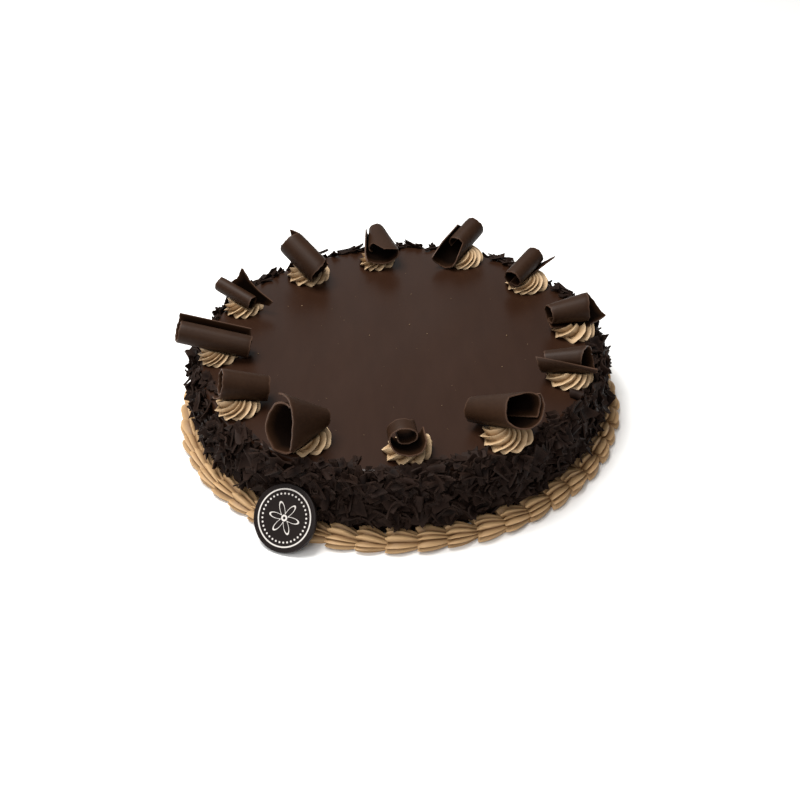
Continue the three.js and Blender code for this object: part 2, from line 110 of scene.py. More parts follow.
# ---------------------------------------------------------------- glazed torte
# The torte is a round flat cake under a smooth coat of dark ganache, poured warm and drawn level
# with a spatula, so the top has faint long streaks and a soft sheen, and its edge is round.

TORTE_HEIGHT = 46.0
TORTE_RADIUS = 121.0        # at the foot
SIDE_RADIUS = 122.5         # from SIDE_STARTS up
SIDE_STARTS = 14.0
SHOULDER = 2.8              # the round between the side and the top
EDGE_DIP = 0.3              # how far the glaze runs down towards the edge, over EDGE_DIP_WIDTH
EDGE_DIP_WIDTH = 18.0
UNDERSIDE_RING = 60.0
TORTE_COLUMNS = 240


def grid_faces(rows, columns, around=False):
    """Quads between the neighbouring points of a grid, closed round its columns if asked."""
    row = np.arange(rows - 1)[:, None] * columns
    column = np.arange(columns if around else columns - 1)[None]
    beside = (column + 1) % columns
    corners = (row + column, row + beside, row + columns + beside, row + columns + column)
    return np.stack(corners, -1).reshape(-1, 4)


def fan_faces(ring, middle):
    """Triangles from each edge of a closed ring of points to a middle point."""
    return np.stack([ring, np.roll(ring, -1), np.full_like(ring, middle)], -1)


def capped_faces(rows, columns):
    """The faces of a closed surface whose points are rings, one after the other, and after them a
    middle for the first ring and one for the last."""
    count = rows * columns
    return [
        grid_faces(rows, columns, around=True),
        fan_faces(np.arange(columns), count)[:, ::-1],
        fan_faces(np.arange(count - columns, count), count + 1),
    ]


def outward(points, faces):
    """The faces turned so that the closed surface has a positive volume."""
    volume = 0.0
    for part in faces:
        for k in range(1, part.shape[1] - 1):
            a, b, c = points[part[:, 0]], points[part[:, k]], points[part[:, k + 1]]
            volume += np.einsum("ij,ij->i", a, np.cross(b, c)).sum()
    return faces if volume > 0 else [part[:, ::-1] for part in faces]


def new_piece(name, points, faces, material, crease=180.0, values=None):
    """A piece from points in millimetres and arrays of faces. Edges that turn by more than
    crease degrees stay sharp, and values holds one named number for each point."""
    mesh = bpy.data.meshes.new(name)
    mesh.from_pydata((points * MM).tolist(), [], [face for part in faces for face in part.tolist()])
    mesh.shade_smooth()
    if crease < 180.0:
        mesh.set_sharp_from_angle(angle=radians(crease))
    for key, numbers in (values or {}).items():
        attribute = mesh.attributes.new(key, "FLOAT", "POINT")
        attribute.data.foreach_set("value", np.asarray(numbers, np.float32).ravel())
    mesh.materials.append(material)
    piece = bpy.data.objects.new(name, mesh)
    bpy.context.scene.collection.objects.link(piece)
    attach(piece, "root")
    return piece


def grain_group():
    """Blotches and fine grain of a food surface: a share of colour to take, and a height."""
    group = bpy.data.node_groups.new("food_grain", "ShaderNodeTree")
    sockets = group.interface
    for name, start in (("Blotch Scale", 30.0), ("Grain Scale", 900.0), ("Grain Share", 0.3)):
        number = sockets.new_socket(name, in_out="INPUT", socket_type="NodeSocketFloat")
        number.default_value = start
    sockets.new_socket("Vector", in_out="INPUT", socket_type="NodeSocketVector")
    for name in ("Share", "Height"):
        sockets.new_socket(name, in_out="OUTPUT", socket_type="NodeSocketFloat")
    node, link = group.nodes, group.links.new
    given, taken = node.new("NodeGroupInput"), node.new("NodeGroupOutput")
    blotch, grain = node.new("ShaderNodeTexNoise"), node.new("ShaderNodeTexNoise")
    blotch.inputs["Detail"].default_value = 3
    grain.inputs["Detail"].default_value = 2
    mix = node.new("ShaderNodeMix")
    link(given.outputs["Vector"], blotch.inputs["Vector"])
    link(given.outputs["Vector"], grain.inputs["Vector"])
    link(given.outputs["Blotch Scale"], blotch.inputs["Scale"])
    link(given.outputs["Grain Scale"], grain.inputs["Scale"])
    link(given.outputs["Grain Share"], mix.inputs["Factor"])
    link(blotch.outputs["Fac"], mix.inputs["A"])
    link(grain.outputs["Fac"], mix.inputs["B"])
    link(mix.outputs["Result"], taken.inputs["Share"])
    link(mix.outputs["Result"], taken.inputs["Height"])
    return group


food_grain = grain_group()


def food_material(name, dark, light, roughness, gloss, blotch, grain, share, bump,
                  stretch=(1, 1, 1)):
    """Two colours mixed by food_grain, with its height as a bump of so many millimetres. Blotch
    and grain are noise scales per metre, and share is how much of the mix is grain."""
    material = bpy.data.materials.new(name)
    material.use_nodes = True
    node, link = material.node_tree.nodes, material.node_tree.links.new
    shader = node["Principled BSDF"]
    place, scaled = node.new("ShaderNodeTexCoord"), node.new("ShaderNodeMapping")
    scaled.inputs["Scale"].default_value = stretch
    effect = node.new("ShaderNodeGroup")
    effect.node_tree = food_grain
    effect.inputs["Blotch Scale"].default_value = blotch
    effect.inputs["Grain Scale"].default_value = grain
    effect.inputs["Grain Share"].default_value = share
    ramp = node.new("ShaderNodeValToRGB")
    ramp.name = "colour"
    ramp.color_ramp.elements[0].position = 0.3
    ramp.color_ramp.elements[1].position = 0.7
    ramp.color_ramp.elements[0].color = (*dark, 1)
    ramp.color_ramp.elements[1].color = (*light, 1)
    relief = node.new("ShaderNodeBump")
    relief.inputs["Distance"].default_value = bump * MM
    rough = node.new("ShaderNodeMapRange")
    rough.inputs["To Min"].default_value = roughness[0]
    rough.inputs["To Max"].default_value = roughness[1]
    link(place.outputs["Object"], scaled.inputs["Vector"])
    link(scaled.outputs["Vector"], effect.inputs["Vector"])
    link(effect.outputs["Share"], ramp.inputs["Fac"])
    link(effect.outputs["Share"], rough.inputs["Value"])
    link(effect.outputs["Height"], relief.inputs["Height"])
    link(ramp.outputs["Color"], shader.inputs["Base Color"])
    link(rough.outputs["Result"], shader.inputs["Roughness"])
    link(relief.outputs["Normal"], shader.inputs["Normal"])
    shader.inputs["Specular IOR Level"].default_value = gloss
    return material


ganache = food_material(
    "ganache", dark=(0.0185, 0.0073, 0.0036), light=(0.025, 0.0103, 0.0052),
    roughness=(0.27, 0.37), gloss=0.18, blotch=14, grain=160, share=0.35, bump=0.12,
    stretch=(1, 0.25, 1))


def torte_profile():
    """Distance from the axis and height of the points from the underside up the side, in a quarter
    circle round the shoulder, and over the top to near the middle."""
    around = np.linspace(0, pi / 2, 9)
    side_heights = np.linspace(5, TORTE_HEIGHT - SHOULDER - 2, 9)
    side_radii = np.interp(side_heights, (5, SIDE_STARTS), (TORTE_RADIUS, SIDE_RADIUS))
    top_radii = np.linspace(SIDE_RADIUS - SHOULDER - 2, 4, 30)
    return np.concatenate([
        [(UNDERSIDE_RING, 0), (TORTE_RADIUS - 1, 0), (TORTE_RADIUS, 1)],
        np.column_stack([side_radii, side_heights]),
        np.column_stack([
            SIDE_RADIUS - SHOULDER + SHOULDER * np.cos(around),
            TORTE_HEIGHT - SHOULDER + SHOULDER * np.sin(around)]),
        np.column_stack([top_radii, np.full_like(top_radii, TORTE_HEIGHT)]),
    ])


def glaze_swell(x, y):
    """Height of the glaze's slow waves: a product of two long waves, and a shorter slanting one."""
    return 0.12 * np.sin(x / 19 + 0.6) * np.cos(y / 27) + 0.06 * np.sin(x / 8 - y / 11)


def torte_surface():
    """The profile carried round the axis, with a slightly wavy edge, swells on the top and a dip
    that grows as a square towards the edge. The middles of underside and top come last."""
    profile = torte_profile()
    azimuth = np.linspace(0, 2 * pi, TORTE_COLUMNS, endpoint=False)
    radius, height = profile[:, :1], profile[:, 1:]
    upper = np.clip((height - TORTE_HEIGHT + SHOULDER) / SHOULDER, 0, 1)
    edge_wave = 0.5 * np.sin(5 * azimuth + 1) + 0.3 * np.sin(13 * azimuth)
    radius = radius + upper * (radius > 100) * edge_wave
    x, y = radius * np.cos(azimuth), radius * np.sin(azimuth)
    swell = glaze_swell(x, y)
    dip = EDGE_DIP * np.clip((radius - 100) / EDGE_DIP_WIDTH, 0, 1) ** 2
    rings = np.stack([x, y, height + upper * (swell - dip)], -1).reshape(-1, 3)
    middles = np.array([[0, 0, 0], [0, 0, TORTE_HEIGHT + swell[-1].mean()]])
    return np.vstack([rings, middles]), capped_faces(len(profile), TORTE_COLUMNS)


torte_points, torte_faces = torte_surface()
glazed_torte = new_piece(
    "glazed_torte", torte_points, outward(torte_points, torte_faces), ganache)
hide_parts("torte")

# ---------------------------------------------------------------- chocolate curls
# Each curl is a thin sheet of chocolate scraped off a block, which rolled up as it came off. The
# sheets differ in how far they are rolled, how their ends broke and how they lie on the cream.

CURL_THICKNESS = 1.1
CURL_EDGE_THICKNESS = 0.7   # at the rim, growing to the full thickness over CURL_TAPER
CURL_TAPER = 2.5
CURL_HIGHLIGHT_WIDTH = 0.8              # width of the painted highlight along the rim, strongest at the edge
CURL_SHADE = 5.0            # how far in from the rim the painted shade in the hollow reaches its full darkness
OPENING_LENGTH = 20.0       # widen and rise, below, are for this length of the axis
# The colour and share of the painted highlight along the curls' rims, where the edges catch the
# light.
CURL_HIGHLIGHT_COLOUR = (0.095, 0.052, 0.034)
CURL_HIGHLIGHT_SHARE = 0.65

# The curls, anticlockwise from the back. seat is the azimuth and radius of the rosette below, and
# cream is that rosette's share of the full radius; centre is how far the curl's axis lies outward,
# sideways and up from the seat; turn and tilt point the axis; start is where round the axis the
# inner edge lies, and hand is which way it winds; bend is the bend radius from the inner to the
# outer edge, over wind degrees; flap is the straight outer end; flat presses the roll down; widen
# opens it along its axis, and rise says by how much it opens upwards where that differs; skew
# slants its outer edge. near_cut and far_cut say, at shares of the sheet's length, where it ends.
CURLS = [
    dict(seat=(96.6, 102.2), cream=0.8, centre=(6.8, -3.3, 12),
         turn=98, tilt=0, start=-130, hand=1,
         bend=(7, 9.5), wind=400, flap=10, flat=0.66, widen=-0.4, rise=0,
         near_cut=[(0, -7), (0.17, -7), (0.25, -19), (0.33, -18), (0.42, -14), (0.6, -19),
                   (0.78, -18), (1, 7)],
         far_cut=[(0, 17), (0.8, 17), (1, 9)]),
    dict(seat=(64.9, 111.1), cream=0.92, centre=(3.9, 1.6, 14.3),
         turn=52, tilt=14, start=-120, hand=1,
         bend=(5.8, 7.9), wind=400, flap=4,
         near_cut=[(0, -7), (0.36, -7), (0.44, -17), (0.55, -22), (0.8, -24), (0.92, -26),
                   (1, -13)],
         far_cut=[(0, 15), (0.8, 15), (1, 6)]),
    dict(seat=(37.1, 109.4), cream=0.95, centre=(-2.2, 0.3, 13.5),
         turn=50, tilt=12, start=222, hand=-1,
         bend=(5, 6.9), wind=435, flap=9,
         near_cut=[(0, -13), (0.76, -13), (0.84, 1), (1, 17.5)],
         far_cut=[(0, 14), (0.8, 14), (1, 19.5)]),
    dict(seat=(4.1, 110.6), cream=0.93, centre=(-2.6, 1.6, 14),
         turn=9, tilt=4, start=220, hand=-1,
         bend=(6.3, 8.5), wind=400, flap=5, widen=0.3,
         near_cut=[(0, -13), (0.35, -12), (0.6, -14), (1, -13)],
         far_cut=[(0, 12), (0.15, 10.5), (0.3, 10.5), (0.56, 13), (0.86, 24.5), (0.94, 15),
                  (1, 10)]),
    dict(seat=(-22, 109.2), cream=0.95, centre=(-1.6, 1, 12.7),
         turn=-6, tilt=6, start=160, hand=-1,
         bend=(5, 8.4), wind=485, widen=0.18, skew=0.18,
         near_cut=[(0, -13), (0.6, -14), (1, -18.5)],
         far_cut=[(0, 8), (0.2, 8), (0.5, 14), (1, 17)]),
    dict(seat=(-58.3, 112.9), cream=1, centre=(-7.2, 0.9, 15.6),
         turn=-34, tilt=20, start=200, hand=1,
         bend=(9.2, 11.6), wind=440, flat=0.77, widen=0.24, rise=0.16,
         near_cut=[(0, -19.5), (1, -19.5)],
         far_cut=[(0, 19), (0.18, 19), (0.3, 14), (0.34, 9), (0.55, 12), (0.7, 19), (0.8, 21),
                  (1, 19)]),
    dict(seat=(-88, 104), cream=0.97, centre=(3, -1.6, 17),
         turn=97, tilt=0, start=270, hand=-1,
         bend=(4.3, 10.8), wind=520, flap=2, flat=0.8,
         near_cut=[(0, -6), (0.56, -6), (0.7, -11), (0.9, -13.5), (1, -9)],
         far_cut=[(0, 7), (0.25, 7), (0.33, 3), (1, 3)]),
    dict(seat=(-120, 106), cream=0.95, centre=(1.5, 0.5, 19),
         turn=26, tilt=-18, start=5, hand=-1,
         bend=(8.4, 9.2, 11, 13, 3, 14, 14, 9, 8.4), wind=400, widen=-0.78,
         near_cut=[(0, -12), (0.12, -14.5), (0.3, -16), (0.4, -13), (0.48, -8), (0.53, -3),
                   (0.56, -8), (0.62, -13), (0.75, -14), (0.88, -13), (1, -14)],
         far_cut=[(0, 15), (1, 15)]),
    dict(seat=(-148.4, 110.6), cream=0.93, centre=(-6, -1.3, 13),
         turn=9, tilt=-16, start=110, hand=1,
         bend=(6.4, 8.4), wind=420, widen=-0.13,
         near_cut=[(0, -14), (0.85, -14), (1, -17)],
         far_cut=[(0, 14), (1, 14)]),
    dict(seat=(-177.8, 110.9), cream=0.84, centre=(1.2, 0.3, 14),
         turn=-4, tilt=-15, start=-130, hand=1,
         bend=(5.6, 7.4), wind=395, flap=8,
         near_cut=[(0, -21), (0.5, -21), (0.75, -24), (1, -23)],
         far_cut=[(0, 23), (0.8, 23), (1, 21)]),
    dict(seat=(153.3, 111), cream=0.85, centre=(2.5, 1.9, 12.5),
         turn=-33, tilt=-15, start=-130, hand=1,
         bend=(3.6, 5.2), wind=390, flap=15,
         near_cut=[(0, -14), (0.66, -14), (0.7, -9), (0.8, -5.5), (0.9, -4.2), (1, -4)],
         far_cut=[(0, 13), (0.6, 13), (0.68, 23), (0.77, 24), (0.81, 13), (0.88, 4.5),
                  (1, -2.5)]),
    dict(seat=(123.5, 105), cream=0.97, centre=(-3.4, 2.4, 17),
         turn=-42, tilt=-28, start=-130, hand=1,
         bend=(7.7, 9.5), wind=400,
         near_cut=[(0, -14), (0.5, -16), (0.7, -15), (0.84, -15.5), (0.95, -25), (1, -19)],
         far_cut=[(0, 11), (0.22, 11), (0.32, 14.5), (0.6, 14.5), (0.7, 12), (1, 12)]),
]


def seat_frame(seat):
    """The middle of a seat on top of the torte, and its outward and sideways directions."""
    angle = radians(seat[0])
    out = np.array([cos(angle), sin(angle), 0.0])
    side = np.array([-out[1], out[0], 0.0])
    return out * seat[1] + np.array([0, 0, TORTE_HEIGHT]), out, side


def rolled_line(bend, wind, flap, steps=480):
    """The rolled sheet seen end on: a line that turns steadily by wind degrees while its bend
    radius runs through the radii in bend, and then goes straight on for the flap. Gives the up and
    across places and the length walked, with the middle of the last bend at 0, 0."""
    turn = radians(wind)
    share = (np.arange(steps) + 0.5) / steps
    stride = np.interp(share, np.linspace(0, 1, len(bend)), bend) * turn / steps
    up = np.concatenate([[0], np.cumsum(-np.sin(share * turn) * stride)])
    across = np.concatenate([[0], np.cumsum(np.cos(share * turn) * stride)])
    walked = np.concatenate([[0], np.cumsum(stride)])
    up = np.append(up, up[-1] - sin(turn) * flap) + bend[-1] * cos(turn) - up[-1]
    across = np.append(across, across[-1] + cos(turn) * flap) + bend[-1] * sin(turn) - across[-1]
    return up, across, np.append(walked, walked[-1] + flap)


def curl_side(curl, face, along=120, over=44):
    """One side of a curl's sheet as a grid of points, face 1 for the outer side and -1 for the
    inner one: the rolled line carried along the axis from near_cut to far_cut, moved by half the
    thickness square to itself. Also gives how near each point is to the rim, for a painted
    highlight along it, and on the inner side how far each point lies in from the rim, for the
    painted shade of the hollow. The sheet is thinner at its rim, and its cut ends are a little
    wavy."""
    middle, out, side = seat_frame(curl["seat"])
    middle = middle + out * curl["centre"][0] + side * curl["centre"][1] + [0, 0, curl["centre"][2]]
    turn, tilt = radians(curl["turn"]), radians(curl["tilt"])
    axis = np.array([cos(tilt) * cos(turn), cos(tilt) * sin(turn), sin(tilt)])
    up = np.array([0, 0, 1.0]) - axis[2] * axis
    up /= np.linalg.norm(up)
    across = np.cross(axis, up)
    line_up, line_across, walked = rolled_line(curl["bend"], curl["wind"], curl.get("flap", 0))
    length = walked[-1]
    share = np.linspace(0, 1, along + 1)[:, None]
    reach_share = np.linspace(0, 1, over + 1)[None]
    wave = 0.18 * np.sin(share * 41 + curl["turn"]) + 0.12 * np.sin(share * 93 + curl["start"])
    near = np.interp(share, *zip(*curl["near_cut"])) + wave
    far = np.interp(share, *zip(*curl["far_cut"])) + wave[::-1]
    reach = near + (far - near) * reach_share
    at = share * (1 - curl.get("skew", 0) * reach_share) * length
    place_up, place_across = np.interp(at, walked, line_up), np.interp(at, walked, line_across)
    step = 0.05
    before, after = at - step, at + step
    ahead_up = np.interp(after, walked, line_up) - np.interp(before, walked, line_up)
    ahead_across = np.interp(after, walked, line_across) - np.interp(before, walked, line_across)
    ahead = np.hypot(ahead_up, ahead_across)
    to_rim = np.minimum(
        np.minimum(share, 1 - share) * length,
        np.minimum(reach_share, 1 - reach_share) * (far - near))
    thickness = np.interp(to_rim, (0, CURL_TAPER), (CURL_EDGE_THICKNESS, CURL_THICKNESS))
    section_up = place_up + ahead_across / ahead * face * thickness / 2
    section_across = (place_across - ahead_up / ahead * face * thickness / 2) * curl["hand"]
    start = radians(curl["start"])
    turned_up = section_up * cos(start) - section_across * sin(start)
    turned_across = section_up * sin(start) + section_across * cos(start)
    widen = curl.get("widen", 0)
    rise = curl.get("rise", widen)
    points = (
        middle + reach[..., None] * axis
        + (turned_up * curl.get("flat", 1) * (1 + rise * reach / OPENING_LENGTH))[..., None] * up
        + (turned_across * (1 + widen * reach / OPENING_LENGTH))[..., None] * across)
    # Painted shade: on the inner side the colour darkens from the rim inward, as the hollow of the
    # roll lies in shade.
    painted_hollow_shade = np.clip(to_rim / CURL_SHADE, 0, 1) if face < 0 else 0 * to_rim
    return points, np.clip(1 - to_rim / CURL_HIGHLIGHT_WIDTH, 0, 1), painted_hollow_shade


def plate_faces(rows, columns):
    """The faces of a thin closed plate whose two sides are grids of points, one after the other:
    the two grids, and a wall of quads along their common rim."""
    top = grid_faces(rows, columns)
    index = np.arange(rows * columns).reshape(rows, columns)
    rim = np.concatenate([index[0, :-1], index[:-1, -1], index[-1, :0:-1], index[:0:-1, 0]])
    after = np.roll(rim, -1)
    below = rows * columns
    walls = np.stack([after, rim, rim + below, after + below], -1)
    return np.concatenate([top, top[:, ::-1] + below, walls])


def mix_towards(material, attribute, colour, amount):
    """Mixes a material's colour towards another one, by amount times the attribute."""
    node, link = material.node_tree.nodes, material.node_tree.links.new
    base = node["Principled BSDF"].inputs["Base Color"]
    painted = base.links[0].from_socket
    mask = node.new("ShaderNodeAttribute")
    mask.attribute_name = attribute
    share = node.new("ShaderNodeMath")
    share.operation = "MULTIPLY"
    share.inputs[1].default_value = amount
    mix = node.new("ShaderNodeMix")
    mix.data_type = "RGBA"
    mix.inputs["B"].default_value = (*colour, 1)
    link(mask.outputs["Fac"], share.inputs[0])
    link(share.outputs["Value"], mix.inputs["Factor"])
    link(painted, mix.inputs["A"])
    link(mix.outputs["Result"], base)


curl_chocolate = food_material(
    "curl_chocolate", dark=(0.0195, 0.0083, 0.0038), light=(0.028, 0.0127, 0.0062),
    roughness=(0.42, 0.54), gloss=0.11, blotch=45, grain=500, share=0.4, bump=0.06)
# Painted highlight: the curl's rim is lightened, as if its edge caught the light.
mix_towards(curl_chocolate, "rim", CURL_HIGHLIGHT_COLOUR, CURL_HIGHLIGHT_SHARE)

# The inner side's material is a rougher, less glossy and slightly darker copy of the curl
# chocolate, with painted shade.
curl_hollow_painted_shade = food_material(
    "curl_hollow_painted_shade", dark=(0.017, 0.0072, 0.0033), light=(0.023, 0.0102, 0.0048),
    roughness=(0.7, 0.85), gloss=0.02, blotch=45, grain=500, share=0.4, bump=0.1)
# Painted shade: the inner side goes near black away from its rim, where the hollow lies in shade.
mix_towards(curl_hollow_painted_shade, "painted_hollow_shade", (0.002, 0.0009, 0.0005), 0.92)
# Painted highlight: the rim of the inner side is lightened the same way.
mix_towards(curl_hollow_painted_shade, "rim", CURL_HIGHLIGHT_COLOUR, CURL_HIGHLIGHT_SHARE)

curl_shapes = []
for number, curl in enumerate(CURLS, start=1):
    outer, rim, outer_shade = curl_side(curl, 1)
    inner, _, inner_shade = curl_side(curl, -1)
    curl_shapes.append(np.vstack([outer.reshape(-1, 3), inner.reshape(-1, 3)]))
    sheet = outward(curl_shapes[-1], [plate_faces(*rim.shape)])
    masks = {"rim": np.stack([rim, rim]), "painted_hollow_shade": np.stack([outer_shade, inner_shade])}
    piece = new_piece(
        f"curl_sheet_{number:02d}", curl_shapes[-1], sheet, curl_chocolate,
        crease=50, values=masks)
    each_side = (rim.shape[0] - 1) * (rim.shape[1] - 1)
    # The inner faces take the rougher material with the painted shade of the hollow.
    hollow_finish_and_shade = np.zeros(len(piece.data.polygons), np.int32)
    hollow_finish_and_shade[each_side:2 * each_side] = 1
    piece.data.materials.append(curl_hollow_painted_shade)
    piece.data.polygons.foreach_set("material_index", hollow_finish_and_shade)
    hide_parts(f"curl_{number:02d}")

# ---------------------------------------------------------------- piped rosettes
# A rosette is mocha buttercream squeezed through a star nozzle while it is turned, so that sharp
# ridges wind up from its rim to its middle. The curl on it has pressed its top down.

ROSETTE_RADIUS = 14.0
ROSETTE_HEIGHT = 9.0
LEAST_CREAM = 0.3           # no lobe takes a rosette lower than this share of its height
CURL_TOUCH = 1.2            # cream this near below a curl is pressed down
CURL_GAP = 0.25             # between the curl and the cream that it pressed
WELLED_UP = 1.2             # how high the cream rises beside a curl, fading over WELL_WIDTH
WELL_WIDTH = 1.5

# How many ridges each rosette has, how far they wind round it in radians, and how deep they are.
# The seventh was pushed aside by its curl: power makes its crests rounder, lean sets how it is
# turned, and lobes say in which directions it is higher or lower, by how much and how widely.
ROSETTES = [
    dict(ridges=11, twist=2.0, depth=1.0),
    dict(ridges=11, twist=2.3, depth=1.0),
    dict(ridges=12, twist=2.4, depth=0.9),
    dict(ridges=10, twist=2.0, depth=1.1),
    dict(ridges=12, twist=2.2, depth=1.0),
    dict(ridges=11, twist=2.1, depth=1.05),
    dict(ridges=9, twist=1.5, depth=1.0, power=0.85, lean=0.25,
         lobes=[(-0.1, 6.5, 0.4), (1.8, -8.0, 1.25)]),
    dict(ridges=11, twist=2.3, depth=1.0),
    dict(ridges=11, twist=2.3, depth=0.95),
    dict(ridges=12, twist=2.4, depth=0.9),
    dict(ridges=11, twist=2.2, depth=1.0),
    dict(ridges=11, twist=2.0, depth=1.0),
]

# The rosette's profile: at shares of the way from its foot to its middle, the shares of its
# radius and of its height, and the depth of its ridges.
ROSETTE_WAY = (0, 0.07, 0.16, 0.30, 0.48, 0.68, 0.86, 1)
ROSETTE_WIDE = (0.80, 0.95, 1.0, 0.94, 0.80, 0.56, 0.28, 0.02)
ROSETTE_HIGH = (0, 0.06, 0.18, 0.42, 0.68, 0.90, 0.98, 1.0)
RIDGE_WAY = (0, 0.12, 0.3, 0.8, 1)
RIDGE_DEPTH = (3.4, 4.2, 3.8, 1.8, 0)

# The cream's own colours are darkened to a painted shade for the grooves, and the crest mask mixes
# in a painted highlight towards each crest.
pale_cream = food_material(
    "pale_mocha_cream", dark=(0.185, 0.098, 0.037), light=(0.24, 0.136, 0.058),
    roughness=(0.5, 0.62), gloss=0.25, blotch=120, grain=1500, share=0.5, bump=0.1)
mix_towards(pale_cream, "crest", (0.54, 0.385, 0.23), 0.95)


def ridge_shape(phase, skew, power):
    """Height of star-nozzle ridges over a phase of 2 pi for each: it rises from 0 in the hollow to
    1 on the sharp crest, which stands at the share skew of the ridge, and falls again."""
    at = np.mod(phase / (2 * pi), 1)
    return np.minimum(at / skew, (1 - at) / (1 - skew)) ** power


def rosette_points(curl, style, random, rows=46, columns_per_ridge=8):
    """Rings from the rosette's foot over its rim to its middle, each turned on from the last. The
    ridges stand out square to the profile, and every ridge is a little different. Each lobe adds a
    bell curve round its direction. Gives the points and how near each is to a crest."""
    middle, _, _ = seat_frame(curl["seat"])
    columns = style["ridges"] * columns_per_ridge
    share = np.linspace(0, 1, rows)[:, None]
    wide = np.interp(share, ROSETTE_WAY, ROSETTE_WIDE)
    high = np.interp(share, ROSETTE_WAY, ROSETTE_HIGH)
    smooth = np.ones(3) / 3
    wide[1:-1, 0] = np.convolve(wide[:, 0], smooth, "valid")
    high[1:-1, 0] = np.convolve(high[:, 0], smooth, "valid")
    radius = ROSETTE_RADIUS * curl["cream"] * random.uniform(0.97, 1.01) * wide
    height = ROSETTE_HEIGHT * high
    slope = np.stack([np.gradient(height[:, 0]), -np.gradient(radius[:, 0])], -1)
    slope /= np.linalg.norm(slope, axis=1)[:, None]
    angle = np.linspace(0, 2 * pi, columns, endpoint=False)[None]
    lean = style.get("lean", random.uniform(0, 2 * pi))
    uneven = 0.12 * np.sin(2 * angle + lean) + 0.08 * np.sin(3 * angle - lean)
    turned = angle + style["twist"] * share ** 0.75 + lean + uneven
    each = np.repeat(random.uniform(0.75, 1.2, style["ridges"]), columns_per_ridge)[None]
    depth = np.interp(share, RIDGE_WAY, RIDGE_DEPTH) * each * style["depth"]
    crest = ridge_shape(angle * style["ridges"], skew=0.5, power=style.get("power", 1.1))
    lift = (crest - 0.66) * depth
    radius = radius + lift * slope[:, :1]
    height = height + lift * slope[:, 1:]
    least = LEAST_CREAM * height
    for towards, rise, breadth in style.get("lobes", []):
        off_lobe = np.mod(turned - towards + pi, 2 * pi) - pi
        height = height + rise * np.exp(-(off_lobe / breadth) ** 2) * np.interp(
            share, (0, 0.15, 0.4, 1), (0, 0.8, 1, 0))
    height = np.maximum(np.maximum(height, least), 0) * (share > 0)
    points = np.stack([
        middle[0] + radius * np.cos(turned),
        middle[1] + radius * np.sin(turned),
        middle[2] + height + 0 * turned], -1)
    # crest is also the mask for the painted highlight on the crests.
    return points, crest + 0 * turned


def pressed(points, curl_points):
    """Cream points under a curl go down to just below it, and those close beside it well up, by a
    bell curve over their distance from it."""
    plan = ((points[:, None, :2] - curl_points[None, :, :2]) ** 2).sum(-1)
    ceiling = np.where(plan < CURL_TOUCH ** 2, curl_points[None, :, 2], np.inf).min(1)
    nearest = np.sqrt(plan.min(1))
    low = curl_points[plan.argmin(1), 2]
    beside = (nearest > CURL_TOUCH) & (points[:, 2] > low - 2) & (points[:, 2] > TORTE_HEIGHT + 2)
    bell = np.exp(-((nearest - CURL_TOUCH) / WELL_WIDTH) ** 2)
    risen = points[:, 2] + beside * WELLED_UP * bell
    under = np.maximum(ceiling - CURL_GAP, TORTE_HEIGHT + 0.3)
    return np.column_stack([points[:, :2], np.minimum(risen, under)])


rosette_random = np.random.default_rng(21)
for number, (curl, style) in enumerate(zip(CURLS, ROSETTES), start=1):
    rings, crest = rosette_points(curl, style, rosette_random)
    foot, _, _ = seat_frame(curl["seat"])
    cream = np.vstack([rings.reshape(-1, 3), foot, foot + [0, 0, ROSETTE_HEIGHT]])
    curl_points = curl_shapes[number - 1]
    near = np.hypot(*(curl_points[:, :2] - foot[:2]).T) < ROSETTE_RADIUS + 6
    cream = pressed(cream, curl_points[near])
    piece = new_piece(
        f"cream_rosette_{number:02d}", cream, outward(cream, capped_faces(*rings.shape[:2])),
        pale_cream, crease=75, values={"crest": np.append(crest, [0, 0.5])})
    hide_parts(f"rosette_{number:02d}")

# ---------------------------------------------------------------- shell border
# The border is a row of shells of darker mocha buttercream, piped round the foot one after the
# other: each starts as a fat ribbed head over the tail of the last and is drawn off to a tail.

BORDER_RING = 130.4
BORDER_SHELLS = 50
SHELL_HALF_WIDTH = 8.4
SHELL_HALF_HEIGHT = 5.9
SHELL_LENGTH = 22.0
SHELL_RIDGES = 8
SHELL_FOOT = radians(-46)   # where the section meets the table, seen from the shell's middle
SHELL_RAISED = 0.72         # height of that middle above the table, as a share of the half height
SHELL_TIP = 4.0             # how far a crest reaches back at the head

# The size of a shell's section, and the depth of its ridges, at shares of its length.
SHELL_WAY = (0, 0.05, 0.12, 0.22, 0.34, 0.5, 0.75, 1)
SHELL_FULL = (0.88, 0.97, 1.02, 1.01, 0.95, 0.81, 0.53, 0.40)
GROOVE_WAY = (0, 0.2, 0.6, 1)
GROOVE_DEPTH = (0.44, 0.36, 0.38, 0.36)

# The cream's own colours are darkened to a painted shade for the grooves, and the crest mask mixes
# in a painted highlight towards each crest.
border_cream = food_material(
    "border_mocha_cream", dark=(0.10, 0.043, 0.014), light=(0.14, 0.065, 0.023),
    roughness=(0.5, 0.62), gloss=0.3, blotch=110, grain=1400, share=0.5, bump=0.1)
mix_towards(border_cream, "crest", (0.53, 0.34, 0.17), 0.97)


def one_each(random, count, low, high):
    """A random number between low and high for each of count shapes, ready for its grid."""
    return random.uniform(low, high, (count, 1, 1))


